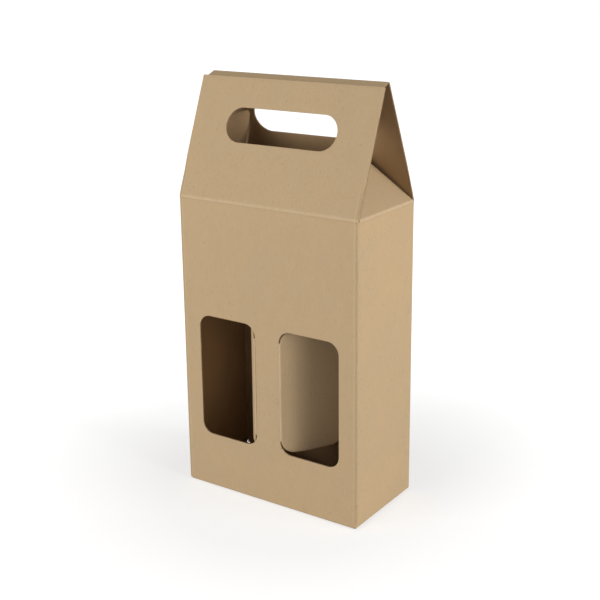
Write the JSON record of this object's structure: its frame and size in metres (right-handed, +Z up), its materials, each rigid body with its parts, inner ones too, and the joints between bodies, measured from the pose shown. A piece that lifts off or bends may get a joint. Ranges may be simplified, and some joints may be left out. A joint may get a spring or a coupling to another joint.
{
  "type": "two-bottle gable carrier box",
  "caption": "Tall kraft board carrier box for bottles, with windows, folded-in window flaps and a gable top whose hinged panels have hand holes.",
  "frame": {"origin": "middle of the base, on the surface the carrier stands on", "axes": "+X to the right along the windowed wall, -Y out through the windows, +Z up"},
  "size_m": [0.18, 0.09, 0.3666],
  "materials": {
    "kraft_board": "matt brown kraft liner"
  },
  "bodies": {
    "carrier_body": {"carrier_body": "kraft_board"},
    "front_handle_panel": {"front_handle_panel": "kraft_board"},
    "back_handle_panel": {"back_handle_panel": "kraft_board"},
    "left_window_flap": {"left_window_flap": "kraft_board"},
    "right_window_flap": {"right_window_flap": "kraft_board"}
  },
  "joints": [
    {"name": "front_panel_hinge", "type": "hinge", "parent": "carrier_body", "child": "front_handle_panel", "pos_m": [0, -0.04425, 0.265], "axis": [1, 0, 0], "range_deg": [0, 110]},
    {"name": "back_panel_hinge", "type": "hinge", "parent": "carrier_body", "child": "back_handle_panel", "pos_m": [0, 0.04425, 0.265], "axis": [-1, 0, 0], "range_deg": [0, 110]},
    {"name": "left_window_hinge", "type": "hinge", "parent": "carrier_body", "child": "left_window_flap", "pos_m": [-0.0133, -0.04425, 0.106], "axis": [0, 0, -1], "range_deg": [-44, 30]},
    {"name": "right_window_hinge", "type": "hinge", "parent": "carrier_body", "child": "right_window_flap", "pos_m": [0.0133, -0.04425, 0.106], "axis": [0, 0, 1], "range_deg": [-44, 30]}
  ]
}
